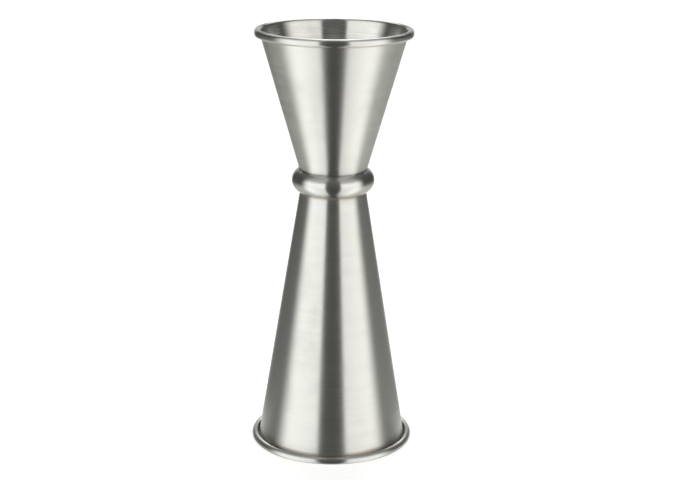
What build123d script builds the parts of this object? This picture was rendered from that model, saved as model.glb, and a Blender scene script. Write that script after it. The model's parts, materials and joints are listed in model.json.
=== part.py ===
from build123d import *

import os
from dataclasses import dataclass
from math import acos, cos, degrees, radians, sin, tan

# A double-ended bar jigger in stainless steel, in millimetres.
# Two spun cups stand floor to floor, the small one mouth up and the large one mouth down.
# One spot weld joins the floors. A hollow collar sits round the joint and can't come off,
# because it was slipped on before the weld and both cups taper out from it.
# Brimful they hold about 25 and 50 ml, the usual pair of bar measures, and that fixes the size.
# The origin is the middle of the circle that the large cup's rim stands on, and +Z is up.

# Driving dimensions
SHEET = 0.6                 # gauge of the cups and the collar
NECK_R = 8.5                # outer radius that both cups would have at the joint with no bend
FLOOR_BEND = 1.3            # middle-line radius of the bend from a cup's floor into its wall
COLLAR_R = 11.3             # outer radius of the collar
COLLAR_CROWN_R = 3.5        # outer radius of the collar's rounded section
COLLAR_DROP = 0.45          # how far the collar's middle lies below the joint
LIP_GAP = 0.02              # hairline between the collar's lips and the cups
WELD_R = 2.5                # radius of the weld nugget between the two floors
WELD_DEPTH = 0.35           # how deep the nugget reaches into each floor
DIMPLE_DEPTH = 0.08         # depth of the mark that the welding electrode leaves


@dataclass(frozen=True)
class Cup:
    """Sizes of one measure. Heights count from the joint to the mouth."""

    name: str
    depth: float            # from the outside of the floor to the top of the rolled rim
    taper: float            # degrees between the wall and the axis
    flare_r: float          # middle-line radius where the wall turns out into the rim
    flare_turn: float       # degrees of that turn
    curl_r: float           # middle-line radius of the rolled rim
    land: float             # width of the flat that the rim stands on
    drop: float             # straight run down the outside of the curl
    tuck: float             # degrees that the sheet's edge turns back in under the curl


SMALL = Cup("small_cup", 40.9, 16.1, 2.0, 4.0, 0.55, 0.2, 0.45, 105.0)
LARGE = Cup("large_cup", 75.3, 9.2, 2.2, 20.0, 0.75, 0.4, 0.05, 108.0)

JOINT_Z = LARGE.depth


class SheetSection:
    """A strip of sheet seen edge on, laid out as straights and bends of its middle line."""

    def __init__(self, start, heading, thickness):
        self.at = Vector(*start)
        self.heading = heading
        self.half = thickness / 2
        self.left, self.right = [], []

    def normal(self):
        """Unit vector to the left of the way the strip is heading."""
        return Vector(-sin(radians(self.heading)), cos(radians(self.heading)))

    def sides(self):
        """The strip's left and right surface points at its present end."""
        return self.at + self.normal() * self.half, self.at - self.normal() * self.half

    def straight(self, length):
        before = self.sides()
        self.at += Vector(cos(radians(self.heading)), sin(radians(self.heading))) * length
        after = self.sides()
        self.left.append(Line(before[0], after[0]))
        self.right.append(Line(before[1], after[1]))

    def bend(self, radius, turn):
        """Turns by that many degrees, to the left if positive."""
        centre = self.at + self.normal() * (radius if turn > 0 else -radius)
        stops = [self.sides()]
        arm = self.at - centre
        for _ in range(2):
            self.heading += turn / 2
            arm = arm.rotate(Axis.Z, turn / 2)
            self.at = centre + arm
            stops.append(self.sides())
        for k, side in enumerate((self.left, self.right)):
            side.append(ThreePointArc(*(stop[k] for stop in stops)))

    def end_cap(self):
        """A half round on the strip's cut edge."""
        left, right = self.sides()
        nose = self.at + Vector(cos(radians(self.heading)), sin(radians(self.heading))) * self.half
        return ThreePointArc(left, nose, right)

    def face(self, start_cap):
        edges = [*self.left, self.end_cap(), *self.right, start_cap]
        return Plane.XZ * make_face(edges)


def lens(radius, depth):
    """A solid with two shallow round caps, that deep on each side of its rim circle."""
    ball_r = (radius**2 + depth**2) / (2 * depth)
    return Pos(0, 0, ball_r - depth) * Sphere(ball_r) & Pos(0, 0, depth - ball_r) * Sphere(ball_r)


def cup_section(cup):
    """The cup's sheet from the middle of its floor to the edge inside its rolled rim."""
    wall_heading = 90 - cup.taper
    flare_heading = wall_heading - cup.flare_turn
    # Where the middle lines of floor and wall would meet, and what the bend takes off each.
    corner_r = NECK_R - SHEET / 2 / cos(radians(cup.taper)) + SHEET / 2 * tan(radians(cup.taper))
    trim = FLOOR_BEND * tan(radians(wall_heading / 2))
    # The height at which the wall ends, so that flare and curl finish at the cup's depth.
    flare_rise = cup.flare_r * (cos(radians(flare_heading)) - cos(radians(wall_heading)))
    curl_rise = cup.curl_r * (1 - cos(radians(flare_heading)))
    wall_top = cup.depth - SHEET / 2 - curl_rise - flare_rise

    sheet = SheetSection((0, SHEET / 2), 0, SHEET)
    axis_cap = Line((0, 0), (0, SHEET))
    sheet.straight(corner_r - trim)
    sheet.bend(FLOOR_BEND, wall_heading)
    sheet.straight((wall_top - SHEET / 2) / cos(radians(cup.taper)) - trim)
    sheet.bend(cup.flare_r, -cup.flare_turn)
    sheet.bend(cup.curl_r, -flare_heading)
    sheet.straight(cup.land)
    sheet.bend(cup.curl_r, -90)
    sheet.straight(cup.drop)
    sheet.bend(cup.curl_r, -cup.tuck)
    return sheet.face(axis_cap)


def measuring_cup(cup):
    """A spun cup, floor down, with the hollows for the weld nugget and the electrode mark."""
    shell = revolve(cup_section(cup), Axis.Z)
    shell -= lens(WELD_R, WELD_DEPTH)
    return shell - Pos(0, 0, SHEET) * lens(WELD_R, DIMPLE_DEPTH)


def lip_angle(taper, rise):
    """Degrees from the collar's middle to the centre of the lip that rests on a cup.

    taper is the cup's, and rise is how far the joint lies beyond the collar's middle
    towards that cup, so that the wall's radius is known at the collar's middle.
    """
    wall_r = NECK_R - rise * tan(radians(taper))
    stand_off = SHEET / 2 + LIP_GAP
    reach = stand_off - (COLLAR_R - COLLAR_CROWN_R - wall_r) * cos(radians(taper))
    return degrees(acos(reach / (COLLAR_CROWN_R - SHEET / 2))) - taper


def collar():
    """The hollow ring, made from a strip bent into an arc with both lips on the cups."""
    upper = lip_angle(SMALL.taper, COLLAR_DROP)
    lower = lip_angle(LARGE.taper, -COLLAR_DROP)
    bend_r = COLLAR_CROWN_R - SHEET / 2
    start_r = COLLAR_R - COLLAR_CROWN_R + bend_r * cos(radians(lower))
    strip = SheetSection((start_r, -bend_r * sin(radians(lower))), 90 - lower, SHEET)
    left, right = strip.sides()
    nose = strip.at - strip.normal().rotate(Axis.Z, -90) * strip.half
    strip.bend(bend_r, upper + lower)
    return revolve(strip.face(ThreePointArc(right, nose, left)), Axis.Z)


def capacity_ml(cup):
    """What the cup holds when it is brimful."""
    rim_r = cup_section(cup).bounding_box().max.X
    block = Pos(0, 0, cup.depth / 2 + SHEET / 2) * Cylinder(rim_r, cup.depth - SHEET)
    pieces = (block - measuring_cup(cup)).solids()
    inside = [s for s in pieces if s.is_inside(Vector(0, 0, cup.depth / 2))]
    return inside[0].volume / 1000


def main():
    on_joint = Pos(0, 0, JOINT_Z)
    parts = {
        "small_cup": on_joint * measuring_cup(SMALL),
        "large_cup": on_joint * Rot(180, 0, 0) * measuring_cup(LARGE),
        "collar": Pos(0, 0, JOINT_Z - COLLAR_DROP) * collar(),
        "weld_nugget": on_joint * lens(WELD_R, WELD_DEPTH),
    }
    os.makedirs("parts", exist_ok=True)
    for node, shape in parts.items():
        export_step(shape, f"parts/{node}.step")
    for cup in (SMALL, LARGE):
        rim_r = cup_section(cup).bounding_box().max.X
        print(cup.name, "holds", round(capacity_ml(cup), 2), "ml, rim radius", round(rim_r, 2))


if __name__ == "__main__":
    main()
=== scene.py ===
"""Finished look of a double-ended bar jigger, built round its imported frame.

Both cups and the waist collar are spun or bent from one gauge of steel sheet. Each is
walked here as a half section, straight by straight and bend by bend, and then turned
round the Z axis by one Geometry Nodes tree. Section sizes are in millimetres, and
everything that reaches Blender is in metres.
"""

import json
import logging
import math
from dataclasses import dataclass, field
from enum import Enum

import bmesh
import bpy
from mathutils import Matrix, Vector

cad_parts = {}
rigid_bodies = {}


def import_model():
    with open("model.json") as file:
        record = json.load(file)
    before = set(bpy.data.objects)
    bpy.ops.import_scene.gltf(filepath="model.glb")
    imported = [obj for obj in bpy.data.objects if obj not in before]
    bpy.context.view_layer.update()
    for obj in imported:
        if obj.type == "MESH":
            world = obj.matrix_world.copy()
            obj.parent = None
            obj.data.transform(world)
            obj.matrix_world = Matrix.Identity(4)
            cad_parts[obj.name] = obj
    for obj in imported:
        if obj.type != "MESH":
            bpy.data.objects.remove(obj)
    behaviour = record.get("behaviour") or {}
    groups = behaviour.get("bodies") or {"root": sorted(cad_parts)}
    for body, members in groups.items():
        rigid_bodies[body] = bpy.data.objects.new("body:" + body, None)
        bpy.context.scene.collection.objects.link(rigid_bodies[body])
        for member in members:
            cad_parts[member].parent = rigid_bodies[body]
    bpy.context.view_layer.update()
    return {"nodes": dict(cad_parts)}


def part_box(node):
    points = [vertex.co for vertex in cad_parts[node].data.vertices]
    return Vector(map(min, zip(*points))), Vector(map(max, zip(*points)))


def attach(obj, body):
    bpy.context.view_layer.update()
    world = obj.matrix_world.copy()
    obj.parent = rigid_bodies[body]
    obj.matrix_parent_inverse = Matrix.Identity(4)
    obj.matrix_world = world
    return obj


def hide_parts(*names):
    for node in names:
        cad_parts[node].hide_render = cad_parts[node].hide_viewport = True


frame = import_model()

log = logging.getLogger("jigger")

MM = 0.001
SHEET = 0.6                 # gauge of the steel sheet, mm
NECK_R = 8.5                # outer radius that both cups would have at the joint, mm
WELD_R = 2.5                # radius of the spot weld, mm
RUN = "run"                 # attribute: metres along the section from the axis
POLISH = "polish"           # attribute: 0 on satin walls, 1 on buffed rolls
INSIDE = "inside"           # attribute: 0 where the steel faces away from the axis, 1 towards it

Colour = tuple[float, float, float, float]      # red, green, blue, alpha


class Mouth(Enum):
    """Which way a cup opens, as the sign of its height over the joint."""

    UP = 1
    DOWN = -1


# ---------------- node helpers


class Bench:
    """Adds and links nodes in one tree, and lays them out in a row."""

    def __init__(self, tree: bpy.types.NodeTree) -> None:
        """Takes over an empty tree.

        Args:
            tree: The shader or geometry tree to fill.
        """
        self.tree = tree
        self.column = 0

    def add(self, kind: str, /, links: dict | None = None, **settings: object) -> bpy.types.Node:
        """Makes one node.

        Args:
            kind: The node's type, such as "ShaderNodeMath".
            links: Input name or index to an output socket or a plain value.
            **settings: Properties of the node itself, such as operation.

        Returns:
            The new node.
        """
        node = self.tree.nodes.new(kind)
        node.location = (self.column * 180, 0)
        self.column += 1
        for name, value in settings.items():
            setattr(node, name, value)
        for key, value in (links or {}).items():
            self.feed(node.inputs[key], value)
        return node

    def feed(self, socket: bpy.types.NodeSocket, value: object) -> None:
        """Links an output into the socket, or sets a plain value on it.

        Args:
            socket: The input to fill.
            value: An output socket or a plain value.
        """
        if isinstance(value, bpy.types.NodeSocket):
            self.tree.links.new(value, socket)
        else:
            socket.default_value = value

    def math(self, operation: str, *values: object, clamp: bool = False) -> bpy.types.NodeSocket:
        """Makes a Math node and returns its output."""
        links = dict(enumerate(values))
        return self.add("ShaderNodeMath", links, operation=operation, use_clamp=clamp).outputs[0]

    def ramp(self, value: object, low: object, high: object) -> bpy.types.NodeSocket:
        """Smooth step from 0 at low to 1 at high; low may be the greater of the two."""
        links = {"Value": value, "From Min": low, "From Max": high}
        return self.add("ShaderNodeMapRange", links, interpolation_type="SMOOTHSTEP").outputs[0]

    def spread(self, value: object, low: float, high: float) -> bpy.types.NodeSocket:
        """Straight line from low where value is 0 to high where it is 1."""
        return self.add("ShaderNodeMapRange", {"Value": value, "To Min": low, "To Max": high}).outputs[0]

    def blend(self, factor: object, first: object, second: object) -> bpy.types.NodeSocket:
        """Mixes two colours.

        Args:
            factor: 0 for the first colour, 1 for the second.
            first: A colour or an output.
            second: A colour or an output.

        Returns:
            The mixed colour.
        """
        node = self.add("ShaderNodeMix", {"Factor": factor}, data_type="RGBA")
        self.feed(node.inputs[6], first)
        self.feed(node.inputs[7], second)
        return node.outputs[2]


class Group:
    """A shader node group with named inputs and outputs, made once and placed many times."""

    def __init__(self, name: str, inputs: dict[str, object], outputs: dict[str, str]) -> None:
        """Makes the empty group.

        Args:
            name: What the group is called.
            inputs: Input name to its default, whose type decides the socket.
            outputs: Output name to socket type.
        """
        self.tree = bpy.data.node_groups.new(name, "ShaderNodeTree")
        for label, default in inputs.items():
            kind = "NodeSocketVector" if isinstance(default, tuple) else "NodeSocketFloat"
            socket = self.tree.interface.new_socket(label, in_out="INPUT", socket_type=kind)
            socket.default_value = default
        for label, kind in outputs.items():
            self.tree.interface.new_socket(label, in_out="OUTPUT", socket_type=kind)
        self.bench = Bench(self.tree)
        self.inputs = self.bench.add("NodeGroupInput").outputs
        self.outputs = self.bench.add("NodeGroupOutput").inputs

    def place(self, bench: Bench, **links: object) -> bpy.types.Node:
        """Puts the group into another tree.

        Args:
            bench: The tree to put it in.
            **links: Input name, with _ for a space, to an output or a plain value.

        Returns:
            The group node.
        """
        node = bench.add("ShaderNodeGroup", node_tree=self.tree)
        for label, value in links.items():
            bench.feed(node.inputs[label.replace("_", " ")], value)
        return node


def blank_material(name: str) -> tuple[bpy.types.Material, Bench]:
    """Makes a material with no nodes in it.

    Args:
        name: What the material is called.

    Returns:
        The material, and the bench of its tree.
    """
    made = bpy.data.materials.new(name)
    made.use_nodes = True
    made.node_tree.nodes.clear()
    return made, Bench(made.node_tree)


# ---------------- shared surface effects


def brush_lines_group() -> Group:
    """Lines left by brushing on a lathe, which run round the Z axis.

    Returns:
        Group whose Lines output is 0 to 1 and varies fast along Run and slowly round.
    """
    group = Group(
        "Brush Lines",
        {"Point": (0.0, 0.0, 0.0), "Run": 0.0, "Pitch mm": 0.5, "Reach": 1.5, "Seed": 0.0},
        {"Lines": "NodeSocketFloat"},
    )
    b, given = group.bench, group.inputs
    flat = b.add("ShaderNodeVectorMath", {0: given["Point"], 1: (1.0, 1.0, 0.0)}, operation="MULTIPLY")
    round_ = b.add("ShaderNodeVectorMath", {0: flat.outputs[0]}, operation="NORMALIZE").outputs[0]
    layers = []
    fineness_and_weight = ((1.0, 0.5), (3.7, 0.3), (0.19, 0.2))
    for finer, weight in fineness_and_weight:
        reach = b.math("MULTIPLY", given["Reach"], finer**0.5)
        ring = b.add("ShaderNodeVectorMath", {0: round_, "Scale": reach}, operation="SCALE").outputs[0]
        lines_per_m = b.math("DIVIDE", finer / MM, given["Pitch mm"])
        along = b.math("MULTIPLY", given["Run"], lines_per_m)
        lift = b.add("ShaderNodeCombineXYZ", {"Z": b.math("ADD", along, given["Seed"])}).outputs[0]
        spot = b.add("ShaderNodeVectorMath", {0: ring, 1: lift}, operation="ADD").outputs[0]
        noise = b.add("ShaderNodeTexNoise", {"Vector": spot, "Scale": 1.0, "Detail": 2.0, "Roughness": 0.6})
        layers.append(b.math("MULTIPLY", noise.outputs[0], weight))
    total = b.math("ADD", b.math("ADD", layers[0], layers[1]), layers[2])
    # The noise seldom leaves 0.3 to 0.7, so that range is stretched to 0 to 1.
    b.feed(group.outputs["Lines"], b.ramp(total, 0.3, 0.7))
    return group


def hairlines_group() -> Group:
    """Sparse fine scratches from handling, cut as thin slanting sheets of noise.

    Returns:
        Group whose Scratch output is 1 on a scratch and 0 elsewhere.
    """
    group = Group(
        "Hairlines",
        {"Point": (0.0, 0.0, 0.0), "Amount": 0.5, "Seed": 0.0},
        {"Scratch": "NodeSocketFloat"},
    )
    b, given = group.bench, group.inputs
    found: object = 0.0
    per_m = (70.0, 70.0, 6000.0)             # wide and very thin sheets of noise
    tilts = ((0.5, 0.35, 0.0), (-0.8, 0.2, 1.1), (0.25, -1.1, 2.3))
    for tilt in tilts:
        turned = b.add("ShaderNodeVectorRotate", {"Vector": given["Point"], "Rotation": tilt},
                       rotation_type="EULER_XYZ").outputs[0]
        scaled = b.add("ShaderNodeVectorMath", {0: turned, 1: per_m}, operation="MULTIPLY")
        noise = b.add("ShaderNodeTexNoise", {"Vector": scaled.outputs[0], "W": given["Seed"], "Scale": 1.0,
                                             "Detail": 0.0}, noise_dimensions="4D")
        # Only the noise's rare peaks make a scratch, and a greater Amount lets in more of them.
        least = b.math("SUBTRACT", 0.86, b.math("MULTIPLY", given["Amount"], 0.1))
        line = b.ramp(noise.outputs[0], least, b.math("ADD", least, 0.03))
        found = b.math("MAXIMUM", line, found)
    b.feed(group.outputs["Scratch"], found)
    return group


def smudge_group() -> Group:
    """Broad patches where hands have dulled the steel a little.

    Returns:
        Group whose Smudge output is 0 on clean steel and 1 in a patch.
    """
    group = Group("Smudges", {"Point": (0.0, 0.0, 0.0), "Size mm": 9.0, "Seed": 0.0},
                  {"Smudge": "NodeSocketFloat"})
    b, given = group.bench, group.inputs
    per_m = b.math("DIVIDE", 1 / MM, given["Size mm"])
    noise = b.add("ShaderNodeTexNoise", {"Vector": given["Point"], "W": given["Seed"], "Scale": per_m,
                                         "Detail": 3.0, "Roughness": 0.55, "Distortion": 0.6},
                  noise_dimensions="4D")
    b.feed(group.outputs["Smudge"], b.ramp(noise.outputs[0], 0.46, 0.72))
    return group


def ring_group() -> Group:
    """A soft-edged ring round the Z axis, for heat tint, stains, and painted shade in a joint.

    Returns:
        Group whose Ring output is 1 where Value is within Width of Middle.
    """
    group = Group("Soft Ring", {"Value": 0.0, "Middle": 0.0, "Width": 0.001}, {"Ring": "NodeSocketFloat"})
    b, given = group.bench, group.inputs
    away = b.math("ABSOLUTE", b.math("SUBTRACT", given["Value"], given["Middle"]))
    b.feed(group.outputs["Ring"], b.ramp(away, given["Width"], 0.0))
    return group


@dataclass
class Effects:
    """The surface effects that the finishes share."""

    brush: Group = field(default_factory=brush_lines_group)
    hairlines: Group = field(default_factory=hairlines_group)
    smudges: Group = field(default_factory=smudge_group)
    ring: Group = field(default_factory=ring_group)


# ---------------- finishes


class ResidueAndShade(Enum):
    """Colour of a ring at a joint: rust and flux residue on the steel, and painted shade where the joints by
    the collar lie in shadow.
    """

    # flux residue with painted shade, for the joint under the collar
    TAN = (0.36, 0.29, 0.2, 1.0)
    # painted shade, for the dark line in the joint over the collar
    BROWN = (0.12, 0.09, 0.06, 1.0)
    RUST = (0.5, 0.33, 0.14, 1.0)


@dataclass(frozen=True)
class StainAndShade:
    """A ring of colour at one height on the outside of a piece: rust or flux residue, and painted shade in
    the joints by the collar.
    """

    height: float            # m, in the row frame
    width: float             # m, from the middle to where it fades out
    residue_and_shade: ResidueAndShade
    strength: float
    film: float = 0.5        # how much of it lies on the metal and hides its shine


@dataclass(frozen=True)
class HeatRing:
    """A ring of heat colour round a spot weld."""

    radius: float            # m, of its middle
    width: float             # m, from the middle to where it fades out
    colour: Colour
    strength: float


WELD_HEAT = (
    HeatRing(3.6 * MM, 1.6 * MM, (0.5, 0.36, 0.19, 1.0), 0.55),      # straw yellow
    HeatRing(2.6 * MM, 0.7 * MM, (0.26, 0.29, 0.38, 1.0), 0.5),      # blue, next to the weld
)


@dataclass(frozen=True)
class SatinSteel:
    """Stainless steel brushed on a lathe, with buffed rolls where the piece says so."""

    name: str
    colour: Colour = (0.63, 0.63, 0.6, 1.0)
    dull: Colour = (0.5, 0.5, 0.475, 1.0)
    satin: float = 0.34              # roughness of the brushed walls
    buffed: float = 0.28             # roughness of the rolls
    pressed: float = 0.22            # roughness inside, where the sheet lay on a polished former
    anisotropy: float = 0.95
    pitch_mm: float = 0.45           # spacing of the brush lines
    groove_mm: float = 0.0035        # their depth
    drift: float = 0.8               # how much each line changes on its way round
    scratches: float = 0.3
    line_dull: float = 0.42          # how far towards dull the darkest brush lines go
    smudge_dull: float = 0.16        # the same for smudges
    rolled_dull: float = 0.5         # the same for the rolls
    line_rough: float = 0.06         # how far brush lines swing the roughness each way
    smudge_rough: float = 0.035      # what a smudge adds to it
    scratch_rough: float = 0.05      # what a scratch adds to it
    scratch_depth: float = 0.2       # a scratch's depth beside a brush line's
    roll_lines: float = 0.35         # how much of the brush lines the buffing left on the rolls
    pressed_lines: float = 0.5       # how deep the lines are inside, beside the outside
    pressed_scratches: float = 0.3   # the same for scratches
    seed: float = 0.0
    # rings of residue, and of painted shade in the joints by the collar
    stains_and_shade: tuple[StainAndShade, ...] = ()
    weld_height: float | None = None     # m, where a spot weld has tinted the floor
    heat_reach: float = 1.8 * MM     # how far over and under that height the tint shows

    def material(self, effects: Effects) -> bpy.types.Material:
        """Builds the material.

        Args:
            effects: The shared node groups.

        Returns:
            The finished material.
        """
        made, b = blank_material(self.name)
        point = b.add("ShaderNodeTexCoord").outputs["Object"]
        inside = b.add("ShaderNodeAttribute", attribute_name=INSIDE).outputs["Fac"]
        run = b.add("ShaderNodeAttribute", attribute_name=RUN).outputs["Fac"]
        polish = b.add("ShaderNodeAttribute", attribute_name=POLISH).outputs["Fac"]
        lines = effects.brush.place(b, Point=point, Run=run, Pitch_mm=self.pitch_mm, Reach=self.drift,
                                    Seed=self.seed).outputs[0]
        smudge = effects.smudges.place(b, Point=point, Seed=self.seed).outputs[0]
        scratch = effects.hairlines.place(b, Point=point, Amount=self.scratches, Seed=self.seed).outputs[0]
        scratch = b.math("MULTIPLY", scratch, b.spread(inside, 1.0, self.pressed_scratches))

        shallow = b.spread(polish, 1.0, self.roll_lines)
        streak = b.math("MULTIPLY", b.spread(lines, self.line_dull, 0.0), shallow)
        colour = b.blend(streak, self.colour, self.dull)
        colour = b.blend(b.math("MULTIPLY", smudge, self.smudge_dull), colour, self.dull)
        rolled = b.math("MULTIPLY", b.ramp(polish, 0.75, 1.0), self.rolled_dull)
        colour = b.blend(rolled, colour, self.dull)
        height = b.add("ShaderNodeSeparateXYZ", {0: point}).outputs["Z"]
        metal: object = 1.0
        outside = b.math("SUBTRACT", b.spread(smudge, 0.7, 1.0), inside, clamp=True)
        # Each ring tints the outside: rust and flux residue, and painted shade in the joints by the collar.
        for stain_and_shade in self.stains_and_shade:
            ring = effects.ring.place(b, Value=height, Middle=stain_and_shade.height, Width=stain_and_shade.width).outputs[0]
            patchy = b.math("MULTIPLY", ring, outside)
            colour = b.blend(b.math("MULTIPLY", patchy, stain_and_shade.strength), colour, stain_and_shade.residue_and_shade.value)
            metal = b.math("SUBTRACT", metal, b.math("MULTIPLY", patchy, stain_and_shade.film), clamp=True)
        if self.weld_height is not None:
            colour = self._tinted(b, effects, colour, point, height)

        swing = b.math("MULTIPLY", b.spread(lines, -self.line_rough, self.line_rough), shallow)
        rough = b.add("ShaderNodeMix", {0: polish, 2: self.satin, 3: self.buffed}).outputs[0]
        rough = b.add("ShaderNodeMix", {0: inside, 2: rough, 3: self.pressed}).outputs[0]
        rough = b.math("ADD", rough, swing)
        rough = b.math("ADD", rough, b.math("MULTIPLY", smudge, self.smudge_rough))
        rough = b.math("ADD", rough, b.math("MULTIPLY", scratch, self.scratch_rough), clamp=True)

        cut = b.math("MULTIPLY", shallow, b.spread(inside, 1.0, self.pressed_lines))
        gouge = b.math("MULTIPLY", scratch, self.scratch_depth)
        depth = b.math("SUBTRACT", b.math("MULTIPLY", lines, cut), gouge)
        bump = b.add("ShaderNodeBump", {"Height": depth, "Distance": self.groove_mm * MM, "Strength": 1.0})

        steel = b.add("ShaderNodeBsdfPrincipled", {
            "Base Color": colour, "Metallic": metal, "Roughness": rough, "Normal": bump.outputs[0],
            "Anisotropic": self.anisotropy, "Anisotropic Rotation": 0.25,
        })
        tangent = b.add("ShaderNodeTangent", direction_type="RADIAL", axis="Z").outputs[0]
        b.feed(steel.inputs["Tangent"], tangent)
        b.add("ShaderNodeOutputMaterial", {"Surface": steel.outputs[0]})
        return made

    def _tinted(self, b: Bench, effects: Effects, colour: object, point: bpy.types.NodeSocket,
                height: bpy.types.NodeSocket) -> bpy.types.NodeSocket:
        """Adds the rings of heat colour that the spot weld left on the floor.

        Args:
            b: The material's bench.
            effects: The shared node groups.
            colour: The steel's colour so far.
            point: Object coordinates.
            height: Their Z.

        Returns:
            The tinted colour.
        """
        near = effects.ring.place(b, Value=height, Middle=self.weld_height, Width=self.heat_reach).outputs[0]
        flat = b.add("ShaderNodeVectorMath", {0: point, 1: (1.0, 1.0, 0.0)}, operation="MULTIPLY").outputs[0]
        away = b.add("ShaderNodeVectorMath", {0: flat}, operation="LENGTH").outputs["Value"]
        for heat in WELD_HEAT:
            ring = effects.ring.place(b, Value=away, Middle=heat.radius, Width=heat.width).outputs[0]
            here = b.math("MULTIPLY", b.math("MULTIPLY", ring, near), heat.strength)
            colour = b.blend(here, colour, heat.colour)
        return colour


@dataclass(frozen=True)
class WeldSteel:
    """The grey, slightly coarse face of steel that has melted and set again."""

    name: str = "weld_steel"
    colour: Colour = (0.42, 0.41, 0.39, 1.0)
    scorched: Colour = (0.3, 0.26, 0.22, 1.0)
    patch_mm: float = 1.2            # size of the scorched patches
    grains_per_m: float = 9000.0
    grain_mm: float = 0.01           # depth of the grain
    grain_rough: tuple[float, float] = (0.38, 0.6)

    def material(self, effects: Effects) -> bpy.types.Material:
        """Builds the material.

        Args:
            effects: The shared node groups.

        Returns:
            The finished material.
        """
        made, b = blank_material(self.name)
        point = b.add("ShaderNodeTexCoord").outputs["Object"]
        patch = effects.smudges.place(b, Point=point, Size_mm=self.patch_mm, Seed=7.0).outputs[0]
        grain = b.add("ShaderNodeTexNoise", {"Vector": point, "Scale": self.grains_per_m,
                                             "Detail": 3.0}).outputs[0]
        bump = b.add("ShaderNodeBump", {"Height": grain, "Distance": self.grain_mm * MM, "Strength": 0.6})
        steel = b.add("ShaderNodeBsdfPrincipled", {
            "Base Color": b.blend(patch, self.colour, self.scorched), "Metallic": 1.0,
            "Roughness": b.spread(grain, *self.grain_rough), "Normal": bump.outputs[0],
        })
        b.add("ShaderNodeOutputMaterial", {"Surface": steel.outputs[0]})
        return made


# ---------------- sections


@dataclass
class Strip:
    """A strip of sheet seen edge on, walked along its middle line in mm."""

    at: Vector
    heading: float                   # degrees from +R towards +Z
    polish: float = 0.0
    left: list[tuple[Vector, float]] = field(default_factory=list)
    right: list[tuple[Vector, float]] = field(default_factory=list)

    def mark(self) -> None:
        """Records the points of both faces at the strip's present end."""
        across = Vector((-math.sin(math.radians(self.heading)), math.cos(math.radians(self.heading))))
        self.left.append((self.at + across * SHEET / 2, self.polish))
        self.right.append((self.at - across * SHEET / 2, self.polish))

    def straight(self, length: float, steps: int = 1, polish: float | None = None) -> None:
        """Walks straight ahead.

        Args:
            length: How far, in mm.
            steps: How many faces the stretch gets along its length.
            polish: How buffed the strip is at the far end, if that changes.
        """
        ahead = Vector((math.cos(math.radians(self.heading)), math.sin(math.radians(self.heading))))
        start, change = self.polish, (self.polish if polish is None else polish) - self.polish
        for k in range(1, steps + 1):
            self.at = self.at + ahead * length / steps
            self.polish = start + change * k / steps
            self.mark()

    def bend(self, radius: float, turn: float, step: float = 6.0, polish: float | None = None) -> None:
        """Walks round an arc.

        Args:
            radius: Middle-line radius in mm.
            turn: Degrees, to the left if positive.
            step: Largest turn of one face, in degrees.
            polish: How buffed the strip is at the far end, if that changes.
        """
        side = math.copysign(1.0, turn)
        count = max(2, math.ceil(abs(turn) / step))
        start, change = self.polish, (self.polish if polish is None else polish) - self.polish
        for k in range(1, count + 1):
            middle = math.radians(self.heading + turn / count / 2)
            chord = 2 * radius * math.sin(math.radians(abs(turn) / count / 2))
            self.at = self.at + Vector((math.cos(middle), math.sin(middle))) * chord
            self.heading += side * abs(turn) / count
            self.polish = start + change * k / count
            self.mark()

    def edge(self, outward: float, steps: int = 8) -> list[tuple[Vector, float]]:
        """The half round on the strip's cut edge.

        Args:
            outward: Heading in degrees in which the edge faces.
            steps: How many faces the half round gets.

        Returns:
            Its inner points, from the left face to the right one.
        """
        ring = (math.radians(outward + 90 - 180 * k / steps) for k in range(1, steps))
        return [(self.at + Vector((math.cos(a), math.sin(a))) * SHEET / 2, self.polish) for a in ring]


def lens_arc(radius: float, depth: float, steps: int) -> list[Vector]:
    """Points of a shallow round cap, from the axis out to its rim circle.

    Args:
        radius: Radius of the rim circle in mm.
        depth: Height of the cap over that circle in mm.
        steps: How many faces it gets.

    Returns:
        Points (radius, height), the rim circle's at height 0.
    """
    ball = (radius**2 + depth**2) / (2 * depth)
    radii = (radius * k / steps for k in range(steps + 1))
    return [Vector((r, math.sqrt(ball**2 - r**2) - (ball - depth))) for r in radii]


# ---------------- turning on the lathe


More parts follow.
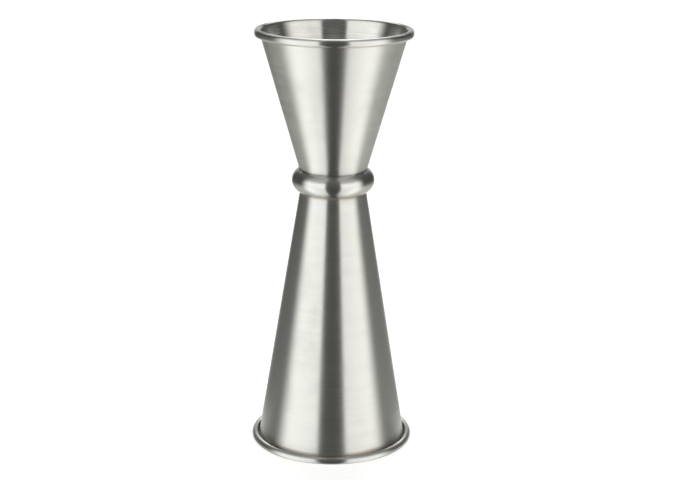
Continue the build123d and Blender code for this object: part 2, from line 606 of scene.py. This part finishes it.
class Lathe:
    """One Geometry Nodes tree that turns a half section round the Z axis."""

    INPUTS = {"Segments": "NodeSocketInt", "Steel": "NodeSocketMaterial"}
    MERGE = 1e-7                     # m, closes the seam and the poles
    FACING = (0.1, -0.3)             # outward lean at which the inside starts, and is whole

    def __init__(self) -> None:
        """Builds the tree."""
        self.tree = bpy.data.node_groups.new("Turn Section", "GeometryNodeTree")
        face = self.tree.interface
        face.new_socket("Section", in_out="INPUT", socket_type="NodeSocketGeometry")
        self.ids = {}
        for label, kind in self.INPUTS.items():
            self.ids[label] = face.new_socket(label, in_out="INPUT", socket_type=kind).identifier
        face.new_socket("Piece", in_out="OUTPUT", socket_type="NodeSocketGeometry")
        self._wire(Bench(self.tree))

    def _wire(self, b: Bench) -> None:
        """Lays a grid of Segments by section points, and wraps it round the axis.

        Args:
            b: The bench of the tree.
        """
        given = b.add("NodeGroupInput").outputs
        section = given["Section"]
        rows = b.add("GeometryNodeAttributeDomainSize", {0: section}, component="MESH").outputs["Point Count"]
        columns = b.math("ADD", given["Segments"], 1)
        grid = b.add("GeometryNodeMeshGrid", {"Vertices X": columns, "Vertices Y": rows})
        index = b.add("GeometryNodeInputIndex").outputs[0]
        row = b.math("MODULO", index, rows)
        # Half a step keeps the division clear of whole numbers.
        column = b.math("FLOOR", b.math("DIVIDE", b.math("ADD", index, 0.5), rows))
        turn = b.math("DIVIDE", b.math("MODULO", column, given["Segments"]), given["Segments"])
        angle = b.math("MULTIPLY", turn, math.tau)

        def sampled(kind: str, value: bpy.types.NodeSocket) -> bpy.types.NodeSocket:
            """Reads a value of the section at this grid point's row.

            Args:
                kind: The value's data type.
                value: The field to read.

            Returns:
                The value, as a field on the grid.
            """
            node = b.add("GeometryNodeSampleIndex", {0: section, "Index": row}, data_type=kind)
            b.feed(node.inputs["Value"], value)
            return node.outputs[0]

        spot = sampled("FLOAT_VECTOR", b.add("GeometryNodeInputPosition").outputs[0])
        parts = b.add("ShaderNodeSeparateXYZ", {0: spot}).outputs
        place = b.add("ShaderNodeCombineXYZ", {
            "X": b.math("MULTIPLY", parts["X"], b.math("COSINE", angle)),
            "Y": b.math("MULTIPLY", parts["X"], b.math("SINE", angle)),
            "Z": parts["Z"],
        }).outputs[0]
        shape = b.add("GeometryNodeSetPosition", {0: grid.outputs["Mesh"], "Position": place}).outputs[0]
        for name in (RUN, POLISH, INSIDE):
            own = b.add("GeometryNodeInputNamedAttribute", {"Name": name}, data_type="FLOAT").outputs[0]
            store = b.add("GeometryNodeStoreNamedAttribute", {0: shape, "Name": name},
                          data_type="FLOAT", domain="POINT")
            b.feed(store.inputs["Value"], sampled("FLOAT", own))
            shape = store.outputs[0]
        store = b.add("GeometryNodeStoreNamedAttribute", {0: shape, "Name": "UVMap"},
                      data_type="FLOAT2", domain="CORNER")
        b.feed(store.inputs["Value"], grid.outputs["UV Map"])
        shape = b.add("GeometryNodeMergeByDistance", {0: store.outputs[0], "Distance": self.MERGE}).outputs[0]
        shape = b.add("GeometryNodeSetShadeSmooth", {0: shape}).outputs[0]
        shape = b.add("GeometryNodeRealizeInstances", {0: shape}).outputs[0]
        shape = b.add("GeometryNodeSetMaterial", {0: shape, "Material": given["Steel"]}).outputs[0]
        b.add("NodeGroupOutput", {0: shape})

    def turn(self, name: str, section: list[tuple[Vector, float]], steel: bpy.types.Material,
             segments: int = 256) -> bpy.types.Object:
        """Turns a section into a finished piece.

        Args:
            name: What the piece is called.
            section: Points (radius, height) in mm, each with how buffed it is.
            steel: The material it gets.
            segments: Faces round the axis.

        Returns:
            A plain mesh object, linked to the scene.
        """
        mesh = bpy.data.meshes.new(name + "_section")
        points = [(p.x * MM, 0.0, p.y * MM) for p, _ in section]
        mesh.from_pydata(points, [(k, k + 1) for k in range(len(points) - 1)], [])
        runs = [0.0]
        for here, there in zip(points, points[1:]):
            runs.append(runs[-1] + math.dist(here, there))
        polishes = [polish for _, polish in section]
        insides = self._facing_axis([p for p, _ in section])
        for attribute, values in ((RUN, runs), (POLISH, polishes), (INSIDE, insides)):
            mesh.attributes.new(attribute, "FLOAT", "POINT").data.foreach_set("value", values)
        blank = bpy.data.objects.new(name + "_blank", mesh)
        bpy.context.scene.collection.objects.link(blank)
        modifier = blank.modifiers.new("Lathe", "NODES")
        modifier.node_group = self.tree
        modifier[self.ids["Segments"]] = segments
        modifier[self.ids["Steel"]] = steel
        piece = bpy.data.objects.new(name, self._harden(blank))
        bpy.context.scene.collection.objects.link(piece)
        bpy.data.objects.remove(blank)
        return piece

    @staticmethod
    def _facing_axis(outline: list[Vector]) -> list[float]:
        """Tells the inside of a section from its outside.

        Args:
            outline: Points (radius, height) round the section, either way round.

        Returns:
            For each point, 1 where the surface faces the axis and 0 where it faces away.
        """
        area = sum(p.cross(q) for p, q in zip(outline, outline[1:] + outline[:1]))
        start, whole = Lathe.FACING
        found = []
        for before, after in zip(outline[:1] + outline[:-1], outline[1:] + outline[-1:]):
            outward = math.copysign(1.0, area) * (after - before).normalized().y
            share = min(max((start - outward) / (start - whole), 0.0), 1.0)
            found.append(share * share * (3 - 2 * share))
        return found

    @staticmethod
    def _harden(blank: bpy.types.Object) -> bpy.types.Mesh:
        """Makes the evaluated shape a plain mesh with its faces pointing outwards.

        Args:
            blank: The object that the lathe's modifier is on.

        Returns:
            The mesh.
        """
        graph = bpy.context.evaluated_depsgraph_get()
        mesh = bpy.data.meshes.new_from_object(blank.evaluated_get(graph), depsgraph=graph)
        work = bmesh.new()
        work.from_mesh(mesh)
        bmesh.ops.recalc_face_normals(work, faces=work.faces)
        work.to_mesh(mesh)
        work.free()
        mesh.name = blank.name.replace("_blank", "")
        mesh.materials.pop(index=0)      # the grid's own empty slot
        mesh.polygons.foreach_set("material_index", [0] * len(mesh.polygons))
        blank.modifiers.clear()
        return mesh


# ---------------- the jigger's pieces


@dataclass
class SpunCup:
    """One measure: a flat floor, a straight taper, and a rim rolled outwards."""

    node: str
    mouth: Mouth
    joint: float                     # height of the floors' meeting plane, mm
    depth: float                     # from that plane to the top of the roll, mm
    taper: float                     # degrees between the wall and the axis
    flare_r: float                   # middle-line radius where the wall turns out, mm
    flare_turn: float                # degrees of that turn
    curl_r: float                    # middle-line radius of the roll, mm
    land: float                      # width of the flat on the roll's crown, mm
    drop: float                      # straight run down the outside of the roll, mm
    tuck: float                      # degrees that the sheet's edge turns back in
    floor_bend: float = 1.3          # middle-line radius of the bend under the wall, mm
    weld_depth: float = 0.35         # depth of the weld's hollow under the floor, mm
    dimple_depth: float = 0.08       # depth of the electrode's mark on the floor, mm
    floor_steps: int = 3
    wall_steps: int = 14
    lens_steps: int = 6
    brushed_to: float = 0.965        # share of the wall's length that is satin to the full
    flare_from: float = 0.35         # how buffed the sheet is where the flare starts
    flare_to: float = 0.8            # and where it ends
    dimple_polish: float = 0.3
    sight_gap: float = 0.2           # mm of wall just over the roll that it hides from sight
    piece: bpy.types.Object | None = None

    def crease(self) -> float:
        """Height in m of the wall where it comes out from behind the roll."""
        roll = 2 * (self.curl_r + SHEET / 2) + self.drop + self.sight_gap
        return (self.joint + self.mouth.value * (self.depth - roll)) * MM

    def section(self) -> list[tuple[Vector, float]]:
        """Walks the sheet from the floor's middle to its edge inside the roll, and back.

        Returns:
            Points in the row frame in mm, each with how buffed it is.
        """
        taper = math.radians(self.taper)
        wall, lip = 90 - self.taper, 90 - self.taper - self.flare_turn
        corner_r = NECK_R - SHEET / 2 / math.cos(taper) + SHEET / 2 * math.tan(taper)
        trim = self.floor_bend * math.tan(math.radians(wall / 2))
        flare_rise = self.flare_r * (math.cos(math.radians(lip)) - math.cos(math.radians(wall)))
        curl_rise = self.curl_r * (1 - math.cos(math.radians(lip)))
        wall_top = self.depth - SHEET / 2 - curl_rise - flare_rise
        length = (wall_top - SHEET / 2) / math.cos(taper) - trim

        strip = Strip(Vector((WELD_R, SHEET / 2)), 0.0)
        strip.mark()
        strip.straight(corner_r - trim - WELD_R, self.floor_steps)
        strip.bend(self.floor_bend, wall)
        strip.straight(length * self.brushed_to, self.wall_steps)
        strip.straight(length * (1 - self.brushed_to), 2, polish=self.flare_from)
        strip.bend(self.flare_r, -self.flare_turn, polish=self.flare_to)
        strip.bend(self.curl_r, -lip, polish=1.0)
        strip.straight(self.land)
        strip.bend(self.curl_r, -90)
        strip.straight(self.drop)
        strip.bend(self.curl_r, -self.tuck)

        weld_arc = lens_arc(WELD_R, self.weld_depth, self.lens_steps)[:-1]
        mark_arc = lens_arc(WELD_R, self.dimple_depth, self.lens_steps)[:-1]
        hollow = [(p, 0.0) for p in weld_arc]
        dimple = [(Vector((p.x, SHEET - p.y)), self.dimple_polish) for p in mark_arc]
        around = hollow + strip.right + strip.edge(strip.heading)[::-1] + strip.left[::-1] + dimple[::-1]
        return [(Vector((p.x, self.joint + self.mouth.value * p.y)), polish) for p, polish in around]

    def build(self, lathe: Lathe, steel: bpy.types.Material) -> bpy.types.Object:
        """Turns the cup and puts it on the frame.

        Args:
            lathe: The shared turning tree.
            steel: The cup's finish.

        Returns:
            The finished piece.
        """
        self.piece = lathe.turn(self.node + "_spun", self.section(), steel)
        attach(self.piece, "root")
        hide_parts(self.node)
        return self.piece


@dataclass
class WaistCollar:
    """The hollow ring round the joint, whose two lips rest on the cups."""

    joint: float
    upper_taper: float
    lower_taper: float
    radius: float                    # outer radius, mm
    crown_r: float = 3.5             # outer radius of the rounded section
    below_joint: float = 0.45
    lip_gap: float = 0.02
    piece: bpy.types.Object | None = None

    def lip_angle(self, taper: float, rise: float) -> float:
        """Where the collar comes to rest on a cup.

        Args:
            taper: The cup's taper in degrees.
            rise: How far the joint lies beyond the collar's middle towards that cup, mm.

        Returns:
            Degrees from the collar's middle to the lip.
        """
        slope = math.radians(taper)
        wall_r = NECK_R - rise * math.tan(slope)
        stand_off = SHEET / 2 + self.lip_gap
        reach = stand_off - (self.radius - self.crown_r - wall_r) * math.cos(slope)
        return math.degrees(math.acos(reach / (self.crown_r - SHEET / 2))) - taper

    def section(self) -> list[tuple[Vector, float]]:
        """Walks the ring's sheet from the lower lip over the crown to the upper lip.

        Returns:
            A closed loop of points in the row frame in mm, each with how buffed it is.
        """
        upper = self.lip_angle(self.upper_taper, self.below_joint)
        lower = self.lip_angle(self.lower_taper, -self.below_joint)
        bend_r = self.crown_r - SHEET / 2
        slope = math.radians(lower)
        start = Vector((self.radius - self.crown_r + bend_r * math.cos(slope), -bend_r * math.sin(slope)))
        strip = Strip(start, 90 - lower, polish=1.0)
        first_edge = strip.edge(strip.heading + 180)
        strip.mark()
        strip.bend(bend_r, upper + lower, step=3.0)
        loop = strip.right + strip.edge(strip.heading)[::-1] + strip.left[::-1] + first_edge[::-1]
        loop.append(loop[0])
        middle = self.joint - self.below_joint
        return [(Vector((p.x, middle + p.y)), polish) for p, polish in loop]

    def build(self, lathe: Lathe, steel: bpy.types.Material) -> bpy.types.Object:
        """Turns the collar and puts it on the frame.

        Args:
            lathe: The shared turning tree.
            steel: The collar's finish.

        Returns:
            The finished piece.
        """
        self.piece = lathe.turn("collar_ring", self.section(), steel)
        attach(self.piece, "root")
        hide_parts("collar")
        return self.piece


@dataclass
class WeldNugget:
    """The melted lens between the two floors, shown as the frame's own node."""

    node: str = "weld_nugget"

    def dress(self, steel: bpy.types.Material) -> bpy.types.Object:
        """Gives the node its finish.

        Args:
            steel: The weld's material.

        Returns:
            The frame's node.
        """
        nugget = frame["nodes"][self.node]
        nugget.data.materials.clear()
        nugget.data.materials.append(steel)
        return nugget


# ---------------- studio


def softbox_group() -> Group:
    """A soft-edged window of light on the sky, by azimuth and elevation in degrees.

    Returns:
        Group whose Light output is Level inside the window and 0 outside.
    """
    group = Group(
        "Softbox",
        {"Azimuth": 0.0, "Elevation": 0.0, "From": 20.0, "To": 220.0, "Near Edge": 2.0, "Far Edge": 14.0,
         "Low": -120.0, "High": 120.0, "Low Edge": 14.0, "High Edge": 14.0, "Level": 1.0},
        {"Light": "NodeSocketFloat"},
    )
    b, given = group.bench, group.inputs

    def step(value: object, middle: object, half: object, up: bool) -> bpy.types.NodeSocket:
        """0 to 1 across the middle, rising or falling."""
        low, high = b.math("SUBTRACT", middle, half), b.math("ADD", middle, half)
        return b.ramp(value, low, high) if up else b.ramp(value, high, low)

    light = step(given["Azimuth"], given["From"], given["Near Edge"], True)
    light = b.math("MULTIPLY", light, step(given["Azimuth"], given["To"], given["Far Edge"], False))
    light = b.math("MULTIPLY", light, step(given["Elevation"], given["Low"], given["Low Edge"], True))
    light = b.math("MULTIPLY", light, step(given["Elevation"], given["High"], given["High Edge"], False))
    b.feed(group.outputs["Light"], b.math("MULTIPLY", light, given["Level"]))
    return group


class Side(Enum):
    """Which side of the camera a lamp hangs on, as the sign of its azimuth."""

    LEFT = -1
    RIGHT = 1
    BOTH = 0


class Tint(Enum):
    """Colour of a lamp's light."""

    COOL_WHITE = (1.0, 1.0, 0.99, 1.0)
    ROSE_WHITE = (1.0, 0.975, 0.965, 1.0)
    OLIVE_GREY = (0.975, 1.0, 0.94, 1.0)


@dataclass(frozen=True)
class Lamp:
    """One softbox, with whatever of the group's inputs it doesn't leave alone."""

    side: Side
    tint: Tint
    level: float
    window: dict[str, float]


BOX_TOP = dict(High=25.5, High_Edge=2.5)
STUDIO_LAMPS = (
    # The two tall boxes: dim all the way up, brighter below 25 degrees, most over the horizon.
    Lamp(Side.LEFT, Tint.COOL_WHITE, 0.42, dict(From=21.5, To=87.0, Low=-72.0)),
    Lamp(Side.RIGHT, Tint.ROSE_WHITE, 0.42, dict(From=22.0, To=85.0, Low=-72.0)),
    Lamp(Side.LEFT, Tint.COOL_WHITE, 0.87, dict(From=21.5, To=87.0, Low=-72.0, **BOX_TOP)),
    Lamp(Side.RIGHT, Tint.ROSE_WHITE, 0.77, dict(From=22.0, To=85.0, Low=-72.0, **BOX_TOP)),
    Lamp(Side.BOTH, Tint.COOL_WHITE, 0.76, dict(From=21.5, To=80.0, Low=0.0, Low_Edge=22.0, **BOX_TOP)),
    # What lies low behind the jigger: more of it on the right, and most near the boxes.
    Lamp(Side.LEFT, Tint.OLIVE_GREY, 0.52, dict(From=60.0, Near_Edge=30.0, High=-17.0, High_Edge=5.0)),
    Lamp(Side.RIGHT, Tint.OLIVE_GREY, 0.64, dict(From=60.0, Near_Edge=30.0, High=-14.5, High_Edge=6.0)),
    Lamp(Side.BOTH, Tint.OLIVE_GREY, 0.22, dict(From=60.0, To=118.0, Near_Edge=30.0, Far_Edge=35.0,
                                                High=-18.0, High_Edge=8.0)),
    # A doorway straight behind, a bright strip of ceiling over it, and the dim ceiling.
    Lamp(Side.BOTH, Tint.OLIVE_GREY, 0.5, dict(From=158.0, Near_Edge=8.0, High=20.0, High_Edge=8.0)),
    Lamp(Side.BOTH, Tint.COOL_WHITE, 3.2, dict(From=157.0, Near_Edge=10.0, Low=27.0, Low_Edge=6.0, High=72.0,
                                               High_Edge=8.0)),
    Lamp(Side.BOTH, Tint.COOL_WHITE, 0.1, dict(From=-10.0, Low=36.0, Low_Edge=12.0)),
    # The pale wall behind the camera, over the horizon.
    Lamp(Side.BOTH, Tint.COOL_WHITE, 0.07, dict(From=-10.0, To=24.0, Far_Edge=3.0, Low=3.0, Low_Edge=6.0,
                                                High=18.0, High_Edge=6.0)),
)


@dataclass
class Studio:
    """A white sweep, two tall softboxes beside the camera, and dim soft surroundings."""

    camera_distance: float = 0.4176  # m, level distance from the jigger's axis
    camera_height: float = 0.175     # m, over the floor
    pitch: float = 15.7              # degrees that the camera looks down
    yaw: float = 0.277               # degrees that it aims right of the axis
    roll: float = 0.5                # degrees that it leans
    lens: float = 83.1               # mm, on a sensor 36 mm wide
    near_clip: float = 0.01          # m
    far_clip: float = 20.0           # m
    floor_radius: float = 4.0        # m
    floor_grey: Colour = (0.82, 0.82, 0.82, 1.0)
    floor_glow: float = 0.61         # what brings the floor up to white
    patch_hole: tuple[float, float] = (0.022, 0.023)     # m, inner edge of the floor's half ring
    patch_rim: tuple[float, float] = (0.06, 0.028)       # m, where it ends and where it is whole
    patch_front: tuple[float, float] = (-0.005, 0.01)    # m in Y, the same at its front
    gloom: float = 0.086             # brightness of the surroundings
    white: Colour = (1.0, 1.0, 1.0, 1.0)

    def camera(self) -> bpy.types.Object:
        """Makes the camera and looks through it.

        Returns:
            The camera.
        """
        data = bpy.data.cameras.new("camera")
        data.lens = self.lens
        data.sensor_width = 36.0
        data.sensor_fit = "HORIZONTAL"
        data.clip_start, data.clip_end = self.near_clip, self.far_clip
        made = bpy.data.objects.new("camera", data)
        made.location = (0.0, -self.camera_distance, self.camera_height)
        turn = (90 - self.pitch, 0.0, -self.yaw)
        made.rotation_euler = [math.radians(a) for a in turn]
        made.rotation_euler.rotate_axis("Z", math.radians(self.roll))
        bpy.context.scene.collection.objects.link(made)
        bpy.context.scene.camera = made
        return made

    def floor(self) -> bpy.types.Object:
        """Makes the pale floor.

        Returns:
            The floor.
        """
        mesh = bpy.data.meshes.new("floor")
        work = bmesh.new()
        bmesh.ops.create_circle(work, cap_ends=True, radius=self.floor_radius, segments=128)
        work.to_mesh(mesh)
        work.free()
        mesh.materials.append(self._pale())
        floor = bpy.data.objects.new("floor", mesh)
        bpy.context.scene.collection.objects.link(floor)
        floor.visible_diffuse = False
        return floor

    def _pale(self) -> bpy.types.Material:
        """Makes the floor's material: white from above and clear from below.

        In the steel it shows only close behind the foot, as a soft pale half ring.

        Returns:
            The material.
        """
        pale, b = blank_material("floor_pale")
        surface = b.add("ShaderNodeBsdfPrincipled", {
            "Base Color": self.floor_grey, "Roughness": 0.9, "Specular IOR Level": 0.0,
            "Emission Color": self.white, "Emission Strength": self.floor_glow,
        })
        clear = b.add("ShaderNodeBsdfTransparent").outputs[0]
        spot = b.add("ShaderNodeTexCoord").outputs["Object"]
        away = b.add("ShaderNodeVectorMath", {0: spot}, operation="LENGTH").outputs["Value"]
        back = b.ramp(b.add("ShaderNodeSeparateXYZ", {0: spot}).outputs["Y"], *self.patch_front)
        near = b.math("MULTIPLY", b.ramp(away, *self.patch_rim), b.ramp(away, *self.patch_hole))
        ring = b.math("MULTIPLY", near, back)
        glow = b.add("ShaderNodeEmission", {"Color": self.white, "Strength": 1.0}).outputs[0]
        patch = b.add("ShaderNodeMixShader", {0: ring, 1: clear, 2: glow}).outputs[0]
        reflected = b.add("ShaderNodeLightPath").outputs["Is Glossy Ray"]
        above = b.add("ShaderNodeMixShader", {0: reflected, 1: surface.outputs[0], 2: patch}).outputs[0]
        below = b.add("ShaderNodeNewGeometry").outputs["Backfacing"]
        shown = b.add("ShaderNodeMixShader", {0: below, 1: above, 2: clear}).outputs[0]
        b.add("ShaderNodeOutputMaterial", {"Surface": shown})
        return pale

    def light(self) -> bpy.types.World:
        """Hangs the softboxes on the sky, and shows the camera a white background.

        Returns:
            The world.
        """
        world = bpy.data.worlds.new("studio")
        world.use_nodes = True
        world.node_tree.nodes.clear()
        b = Bench(world.node_tree)
        way = b.add("ShaderNodeSeparateXYZ", {0: b.add("ShaderNodeTexCoord").outputs["Generated"]}).outputs
        side = b.math("ARCTAN2", way["X"], b.math("MULTIPLY", way["Y"], -1.0))
        azimuth = b.math("DEGREES", side)
        azimuths = {
            Side.LEFT: b.math("MULTIPLY", azimuth, -1.0),
            Side.RIGHT: azimuth,
            Side.BOTH: b.math("ABSOLUTE", azimuth),
        }
        elevation = b.math("DEGREES", b.math("ARCSINE", way["Z"]))
        box = softbox_group()
        dim = {"Color": Tint.OLIVE_GREY.value, "Strength": self.gloom}
        lit = b.add("ShaderNodeBackground", dim).outputs[0]
        for tint in Tint:
            total: object = 0.0
            for lamp in (lamp for lamp in STUDIO_LAMPS if lamp.tint is tint):
                window = box.place(b, Azimuth=azimuths[lamp.side], Elevation=elevation, Level=lamp.level,
                                   **lamp.window)
                total = b.math("ADD", total, window.outputs[0])
            glow = b.add("ShaderNodeBackground", {"Color": tint.value, "Strength": total}).outputs[0]
            lit = b.add("ShaderNodeAddShader", {0: lit, 1: glow}).outputs[0]
        sweep = b.add("ShaderNodeBackground", {"Color": self.white, "Strength": 1.0}).outputs[0]
        seen = b.add("ShaderNodeLightPath").outputs["Is Camera Ray"]
        shown = b.add("ShaderNodeMixShader", {0: seen, 1: lit, 2: sweep}).outputs[0]
        b.add("ShaderNodeOutputWorld", {0: shown})
        bpy.context.scene.world = world
        return world


def main() -> None:
    """Builds the jigger's pieces and its studio, and reports each one."""
    logging.basicConfig(level=logging.INFO, format="%(name)s: %(message)s")
    bpy.context.scene.view_settings.view_transform = "Standard"
    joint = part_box("large_cup")[1].z / MM
    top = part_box("small_cup")[1].z / MM
    effects, lathe = Effects(), Lathe()

    upper = SpunCup("small_cup", Mouth.UP, joint, depth=top - joint, taper=16.1, flare_r=2.0,
                    flare_turn=4.0, curl_r=0.55, land=0.2, drop=0.45, tuck=105.0)
    lower = SpunCup("large_cup", Mouth.DOWN, joint, depth=joint, taper=9.2, flare_r=2.2,
                    flare_turn=20.0, curl_r=0.75, land=0.4, drop=0.05, tuck=108.0)
    ring = WaistCollar(joint, upper.taper, lower.taper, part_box("collar")[1].x / MM)

    over_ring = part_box("collar")[1].z - 0.25 * MM
    under_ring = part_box("collar")[0].z - 0.1 * MM
    upper_steel = SatinSteel("small_cup_steel", seed=3.0, weld_height=joint * MM, stains_and_shade=(
        # dark brown ring in the joint over the collar: painted shade
        StainAndShade(over_ring, 0.45 * MM, ResidueAndShade.BROWN, 0.75),
        StainAndShade(upper.crease(), 0.25 * MM, ResidueAndShade.RUST, 0.3, film=0.2),
    ))
    lower_steel = SatinSteel("large_cup_steel", seed=11.0, weld_height=joint * MM, stains_and_shade=(
        # tan ring in the joint under the collar: flux residue with painted shade
        StainAndShade(under_ring, 0.85 * MM, ResidueAndShade.TAN, 0.8),
        StainAndShade(lower.crease(), 0.25 * MM, ResidueAndShade.RUST, 0.8, film=0.3),
    ))
    ring_steel = SatinSteel(
        "collar_steel", colour=(0.56, 0.56, 0.54, 1.0), dull=(0.42, 0.42, 0.4, 1.0), buffed=0.25,
        rolled_dull=0.0, anisotropy=0.85, pitch_mm=0.3, seed=23.0,
        # tan ring on the collar's lower lip: flux residue with painted shade
        stains_and_shade=(StainAndShade(under_ring + 0.3 * MM, 0.5 * MM, ResidueAndShade.TAN, 0.5),),
    )

    pieces = (
        upper.build(lathe, upper_steel.material(effects)),
        lower.build(lathe, lower_steel.material(effects)),
        ring.build(lathe, ring_steel.material(effects)),
        WeldNugget().dress(WeldSteel().material(effects)),
    )
    for piece in pieces:
        log.info("%s: %d faces, finish %s", piece.name, len(piece.data.polygons),
                 piece.data.materials[0].name)

    studio = Studio()
    log.info("camera %s, floor %s, light %s", studio.camera().name, studio.floor().name,
             studio.light().name)


if __name__ == "__main__":
    main()
